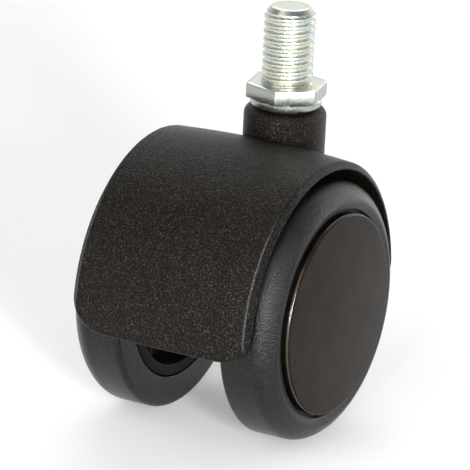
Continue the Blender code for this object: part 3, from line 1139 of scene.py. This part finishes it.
@dataclass
class AxleSet:
    """The axle, with a spacer and a retaining clip at each end."""

    radius: float = 4.0 * MM
    groove: float = 0.5 * MM
    gap: float = 0.3 * MM
    end_round: float = 0.4 * MM
    edge: float = 0.12 * MM
    running: float = 4.3 * MM
    slot_length: float = 12.8 * MM
    slot_width: float = 2.4 * MM
    slot_height: float = 6.0 * MM
    slot_place: float = 20.0 * MM
    columns: int = 96

    def build(self) -> None:
        """Make the pieces about the axle."""
        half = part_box("axle")[1][0]
        near, far = node_reach("axle_clip_right", Side.RIGHT)
        neck = self.radius - self.groove
        upper = [
            (0, half, 0), (self.radius, half, self.end_round),
            (self.radius, far + self.gap, 0), (neck, far + self.gap, 0),
            (neck, near - self.gap, 0), (self.radius, near - self.gap, 0),
        ]
        lower = [(radius, -height, fillet) for radius, height, fillet in reversed(upper)]
        pin = turned("axle_pin", rounded_outline(upper + lower, False, 4), self.columns,
                     axle_frame(Side.RIGHT))
        settle(pin, GROUND, "swivel_housing", "axle")
        for side in Side:
            self.spacer(side)
            self.clip(side)

    def ring(self, name: str, node: str, inner: float, side: Side) -> bpy.types.Object:
        """Make a flat ring that fills a node's box, round an inner radius.

        Args:
            name: The object's name.
            node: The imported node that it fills.
            inner: Radius of its bore.
            side: The end of the axle that it is on.

        Returns:
            The new object.
        """
        near, far = node_reach(node, side)
        low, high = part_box(node)
        outline = ring_outline(inner, (high[1] - low[1]) / 2, near, far, self.edge)
        return turned(name, outline, self.columns, axle_frame(side))

    def spacer(self, side: Side) -> None:
        """Make the washer between the housing's hub and a wheel.

        Args:
            side: The end of the axle that it is on.
        """
        node = f"axle_spacer_{side.word}"
        piece = self.ring(f"spacer_{side.word}", node, self.running, side)
        settle(piece, ACETAL, "swivel_housing", node)

    def clip(self, side: Side) -> None:
        """Make the split ring that keeps a wheel on the axle.

        Args:
            side: The end of the axle that it is on.
        """
        node = f"axle_clip_{side.word}"
        piece = self.ring(f"clip_{side.word}", node, self.radius - self.groove + self.gap, side)
        middle = Matrix.Translation((self.slot_length / 2, 0.0, self.slot_place))
        size = (self.slot_length, self.slot_width, self.slot_height)
        combine(piece, [solid_box("slot", size, axle_frame(side) @ middle)], "DIFFERENCE")
        settle(piece, SPRING, "swivel_housing", node)


@dataclass
class Wheel:
    """One wheel: core, tyre, bush and cover, all turned about the axle."""

    side: Side
    rim: float = 18.8 * MM
    rim_bore: float = 16.7 * MM
    hub: float = 9.0 * MM
    hub_bore: float = 5.6 * MM
    hub_end: float = 19.4 * MM
    web_inner: float = 17.0 * MM
    web_outer: float = 18.5 * MM
    bead_inner: float = 15.0 * MM
    bead_outer: float = 17.0 * MM
    bead_rise: float = 1.2 * MM
    ribs: int = 8
    rib_thickness: float = 1.5 * MM
    rib_start: float = 14.2 * MM
    rib_bite: float = 0.6 * MM
    soft: float = 0.25 * MM
    gap: float = 0.3 * MM
    tread_outer: float = 17.7 * MM
    shoulder_in: float = 9.7 * MM
    shoulder_out: float = 5.6 * MM
    ridge: float = 21.6 * MM
    ridge_drop: float = 0.35 * MM
    ridge_width: float = 0.4 * MM
    ridge_round: float = 1.4 * MM
    back_round: float = 1.0 * MM
    cover_radius: float = 19.4 * MM
    cover_edge: float = 22.7 * MM
    cover_wall: float = 1.6 * MM
    cover_round: float = 0.6 * MM
    spigot_wall: float = 1.0 * MM
    groove: float = 0.60 * MM
    bush_wall: float = 1.0 * MM
    bush_edge: float = 0.15 * MM
    columns: int = 192
    bush_columns: int = 96
    radius: float = field(init=False)
    inner: float = field(init=False)
    rim_end: float = field(init=False)
    dome: float = field(init=False)
    body: str = field(init=False)

    def __post_init__(self) -> None:
        """Take the wheel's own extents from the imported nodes."""
        low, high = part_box(f"tyre_{self.side.word}")
        self.radius = (high[2] - low[2]) / 2
        self.inner = node_reach(f"tyre_{self.side.word}", self.side)[0]
        self.rim_end = node_reach(f"wheel_core_{self.side.word}", self.side)[1]
        self.dome = node_reach(f"wheel_cover_{self.side.word}", self.side)[1] - self.cover_edge
        self.body = f"{self.side.word}_wheel"

    def core(self) -> None:
        """Make the core: rim with its locking bead, web, hub and ribs."""
        soft = self.soft
        bead = self.rim + self.bead_rise
        outline = rounded_outline([
            (self.rim, self.rim_end, 0.1 * MM), (self.rim, self.bead_outer, 0),
            (bead, self.bead_outer, soft), (bead, self.bead_inner, soft),
            (self.rim, self.bead_inner, 0), (self.rim, self.inner, soft),
            (self.rim_bore, self.inner, soft), (self.rim_bore, self.web_inner, 2 * soft),
            (self.hub, self.web_inner, 2 * soft), (self.hub, self.inner, soft),
            (self.hub_bore, self.inner, soft), (self.hub_bore, self.hub_end, 0),
            (self.hub, self.hub_end, soft), (self.hub, self.web_outer, soft),
            (self.rim_bore, self.web_outer, soft), (self.rim_bore, self.rim_end, 0.1 * MM),
        ], True, 4)
        out = axle_frame(self.side)
        piece = turned(f"core_{self.side.word}", outline, self.columns, out)
        reach = (self.hub + self.rim_bore) / 2
        length = self.rim_bore - self.hub + 2 * self.rib_bite
        height = self.web_inner - self.rib_start + self.rib_bite
        ribs = []
        for number in range(self.ribs):
            turn = Matrix.Rotation((number + 0.5) * 2 * math.pi / self.ribs, 4, "Z")
            place = out @ turn @ Matrix.Translation((reach, 0.0, self.rib_start + height / 2))
            ribs.append(solid_box(f"rib_{number}", (length, self.rib_thickness, height), place))
        combine(piece, ribs, "UNION")
        settle(piece, CORE, self.body, f"wheel_core_{self.side.word}")

    def tyre_outline(self) -> np.ndarray:
        """Section of the tyre: tread, elliptical shoulder, ridge, lip and rim seat.

        The shoulder is the ellipse (middle + shoulder_in cos, middle +
        shoulder_out sin), and the ridge stands on it where the cover's groove
        begins.

        Returns:
            An array of (radius, height) points.
        """
        seat = self.rim + self.gap
        lip = self.cover_radius + self.groove
        middle = np.array([self.radius - self.shoulder_in, self.tread_outer])
        last = math.acos((self.ridge + self.ridge_width - middle[0]) / self.shoulder_in)
        swing = np.linspace(last, 0, 40)
        shoulder = middle + np.stack(
            [self.shoulder_in * np.cos(swing), self.shoulder_out * np.sin(swing)], axis=1
        )
        rise = math.sqrt(1 - ((self.ridge - middle[0]) / self.shoulder_in) ** 2)
        crest = self.tread_outer + self.shoulder_out * rise
        rest = rounded_outline([
            (self.radius, self.tread_outer - 0.2 * MM, 0),
            (self.radius, self.inner, self.back_round),
            (seat, self.inner, 0.15 * MM),
            (seat, self.bead_inner - self.gap, 0),
            (seat + self.bead_rise, self.bead_inner - self.gap, 0),
            (seat + self.bead_rise, self.bead_outer + self.gap, 0),
            (seat, self.bead_outer + self.gap, 0),
            (seat, self.rim_end, 0),
            (lip, self.rim_end, 0),
            (lip, crest - self.ridge_drop, 0.25 * MM),
            (self.ridge, crest, self.ridge_round),
            (shoulder[0, 0], shoulder[0, 1], 0),
        ], False, 8)
        return np.concatenate([shoulder, rest[:-1]])

    def tyre(self) -> None:
        """Make the tyre."""
        piece = turned(f"tread_{self.side.word}", self.tyre_outline(), self.columns,
                       axle_frame(self.side))
        settle(piece, TREAD, self.body, f"tyre_{self.side.word}")

    def cover(self) -> None:
        """Make the snap-in cover: a shallow dome with a rounded rim and a spigot.

        The dome's height over its edge is dome * (1 - (r / radius) squared).
        """
        edge = self.cover_round
        share = np.linspace(0, 1 - edge / self.cover_radius, 24)
        top = np.stack([
            self.cover_radius * share, self.cover_edge + self.dome * (1 - share**2),
        ], axis=1)
        swing = np.linspace(0, math.pi / 2, 8)[1:]
        rim_middle = np.array([self.cover_radius - edge, top[-1, 1] - edge])
        rim = rim_middle + edge * np.stack([np.sin(swing), np.cos(swing)], axis=1)
        under = self.cover_edge - self.cover_wall
        spigot = self.rim_bore - self.gap
        foot = self.web_outer + self.gap
        lower = rounded_outline([
            (self.cover_radius, under + 0.2 * MM, 0), (self.cover_radius, under, 0.15 * MM),
            (spigot, under, 0), (spigot, foot, 0.2 * MM),
            (spigot - self.spigot_wall, foot, 0.2 * MM),
            (spigot - self.spigot_wall, under + 0.3 * MM, 0),
            (0.5 * spigot, under + 0.8 * self.dome, 0), (0, under + self.dome, 0),
        ], False, 4)
        piece = turned(f"cover_{self.side.word}", np.concatenate([top, rim, lower]),
                       self.columns, axle_frame(self.side))
        settle(piece, COVER, self.body, f"wheel_cover_{self.side.word}")

    def bush(self) -> None:
        """Make the bush that runs on the axle."""
        node = f"hub_bush_{self.side.word}"
        near, far = node_reach(node, self.side)
        outer = self.hub_bore - self.gap
        outline = ring_outline(outer - self.bush_wall, outer, near, far, self.bush_edge)
        piece = turned(f"bush_{self.side.word}", outline, self.bush_columns,
                       axle_frame(self.side))
        settle(piece, ACETAL, self.body, node)

    def build(self) -> None:
        """Make the whole wheel."""
        self.core()
        self.tyre()
        self.cover()
        self.bush()


# ---------------------------------------------------------------- studio

# Name, place, width and height, and watts of each softbox. The tall strip draws the
# bright line down the hood and the tread, and the low ones light the thread and collar.
SOFTBOXES = (
    ("back_top", (-0.30, 0.80, 0.95), (1.2, 0.9), 7.0),
    ("front_top", (-0.30, -0.95, 0.85), (0.9, 0.9), 5.0),
    ("right_strip", (0.69, -0.73, 0.16), (0.10, 0.36), 15.0),
    ("front_low", (0.24, -0.97, 0.12), (0.09, 0.12), 4.0),
    ("right_back", (0.34, 0.93, 0.10), (0.3, 0.3), 1.6),
)


@dataclass
class Studio:
    """Pale floor, soft lights and a long-lens camera.

    The floor glows faintly near the caster, and from glow_from to glow_to away
    from it the glow rises to far_glow. The room that the caster reflects is a
    horizon, horizon_back bright behind it and horizon_front before it, under a
    ceiling that starts between the heights horizon_to and ceiling_from.
    """

    azimuth_deg: float = 28.87
    elevation_deg: float = 18.47
    roll_deg: float = 2.86
    distance: float = 1.0
    aim: tuple[float, float] = (-9.84 * MM, -29.21 * MM)
    lens: float = 403.1
    sensor: float = 36.0
    horizon_back: float = 0.95
    horizon_front: float = 0.40
    ceiling: float = 0.22
    floor_glow: float = 0.13
    far_glow: float = 0.80
    glow_from: float = 0.30
    glow_to: float = 1.20
    horizon_span: tuple[float, float] = (-0.4, 0.5)
    horizon_to: float = 0.30
    ceiling_from: float = 0.80
    floor_reach: float = 6.0
    floor_shade: float = 0.86

    def camera_axes(self) -> np.ndarray:
        """Directions of the camera after its roll.

        Returns:
            Its right, up and back, as the rows of an array.
        """
        turn, lift, roll = np.radians([self.azimuth_deg, self.elevation_deg, self.roll_deg])
        back = np.array([
            np.sin(turn) * np.cos(lift), -np.cos(turn) * np.cos(lift), np.sin(lift),
        ])
        right = np.array([np.cos(turn), np.sin(turn), 0.0])
        up = np.cross(back, right)
        return np.stack([
            np.cos(roll) * right + np.sin(roll) * up,
            np.cos(roll) * up - np.sin(roll) * right,
            back,
        ])

    def camera(self) -> None:
        """Place the camera on its axes, beside the line through the origin."""
        axes = self.camera_axes()
        data = bpy.data.cameras.new("camera")
        data.lens = self.lens
        data.sensor_width = self.sensor
        data.clip_start = 0.01
        data.clip_end = 20.0
        made = bpy.data.objects.new("camera", data)
        place = axes.T @ np.array([*self.aim, self.distance])
        made.matrix_world = Matrix.Translation(place) @ Matrix(axes.T.tolist()).to_4x4()
        bpy.context.scene.collection.objects.link(made)
        bpy.context.scene.camera = made

    def light(self, name: str, place: tuple[float, float, float], size: tuple[float, float],
              power: float) -> None:
        """Add a rectangular white softbox that faces the caster.

        Args:
            name: The light's name.
            place: Where its middle is.
            size: Its width and height.
            power: Its power in watts.
        """
        data = bpy.data.lights.new(name, "AREA")
        data.shape = "RECTANGLE"
        data.size, data.size_y = size
        data.energy = power
        made = bpy.data.objects.new(name, data)
        middle = Vector((0.0, AXLE_Y, AXLE_Z / 2))
        made.matrix_world = (
            Matrix.Translation(place)
            @ (Vector(place) - middle).to_track_quat("Z", "Y").to_matrix().to_4x4()
        )
        bpy.context.scene.collection.objects.link(made)

    def floor(self) -> None:
        """Lay a pale matt floor under the wheels, its far part glowing white."""
        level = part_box("tyre_right")[0][2]
        reach = self.floor_reach
        vertices = [(-reach, -reach, level), (reach, -reach, level),
                    (reach, reach, level), (-reach, reach, level)]
        mesh = bpy.data.meshes.new("floor")
        mesh.from_pydata(vertices, [], [(0, 1, 2, 3)])
        made = bpy.data.objects.new("floor", mesh)
        bpy.context.scene.collection.objects.link(made)
        paint = bpy.data.materials.new("floor_paint")
        paint.use_nodes = True
        tree = paint.node_tree
        shader = tree.nodes["Principled BSDF"]
        for key, value in {
            "Base Color": (*[self.floor_shade] * 3, 1.0), "Roughness": 0.9,
            "Specular IOR Level": 0.1, "Emission Color": (1.0, 1.0, 1.0, 1.0),
        }.items():
            shader.inputs[key].default_value = value
        place = add_node(tree, "ShaderNodeTexCoord").outputs["Object"]
        away = add_node(tree, "ShaderNodeVectorMath", {"operation": "LENGTH"}, i0=place)
        glow = add_node(tree, "ShaderNodeMapRange", {
            "From Min": self.glow_from, "From Max": self.glow_to,
            "To Min": self.floor_glow, "To Max": self.far_glow,
        }, Value=away.outputs["Value"])
        tree.links.new(glow.outputs["Result"], shader.inputs["Emission Strength"])
        mesh.materials.append(paint)

    def surroundings(self) -> None:
        """White behind the object, and a room for what it reflects.

        The room is a horizon, brightest at the back, under a dim ceiling: its
        strength runs from horizon to ceiling as the direction's height rises.
        """
        world = bpy.data.worlds.new("room")
        bpy.context.scene.world = world
        world.use_nodes = True
        tree = world.node_tree
        tree.nodes.clear()
        way = add_node(tree, "ShaderNodeTexCoord").outputs["Generated"]
        parts = add_node(tree, "ShaderNodeSeparateXYZ", {}, Vector=way)
        front, back = self.horizon_span
        horizon = add_node(tree, "ShaderNodeMapRange", {
            "interpolation_type": "SMOOTHSTEP", "From Min": front, "From Max": back,
            "To Min": self.horizon_front, "To Max": self.horizon_back,
        }, Value=parts.outputs["Y"])
        strength = add_node(tree, "ShaderNodeMapRange", {
            "interpolation_type": "SMOOTHSTEP", "From Min": self.horizon_to,
            "From Max": self.ceiling_from, "To Max": self.ceiling,
        }, Value=parts.outputs["Z"], To_Min=horizon.outputs["Result"])
        seen = add_node(tree, "ShaderNodeBackground", {"Color": (1, 1, 1, 1), "Strength": 1.0})
        room = add_node(tree, "ShaderNodeBackground", {"Color": (1, 1, 1, 1)},
                        Strength=strength.outputs["Result"])
        path = add_node(tree, "ShaderNodeLightPath")
        both = add_node(tree, "ShaderNodeMixShader", {}, i0=path.outputs["Is Camera Ray"],
                        i1=room.outputs["Background"], i2=seen.outputs["Background"])
        add_node(tree, "ShaderNodeOutputWorld", {}, Surface=both.outputs["Shader"])

    def build(self) -> None:
        """Set up the whole studio."""
        self.camera()
        self.floor()
        self.surroundings()
        for name, place, size, power in SOFTBOXES:
            self.light(name, place, size, power)
        view = bpy.context.scene.view_settings
        view.view_transform = "Standard"
        view.look = "None"


def main() -> None:
    """Build every sub-assembly and the studio."""
    logging.basicConfig(level=logging.INFO, format="%(message)s")
    Studio().build()
    Stem().build()
    StemBearings().build()
    Housing().build()
    AxleSet().build()
    for side in Side:
        Wheel(side).build()


if __name__ == "__main__":
    main()
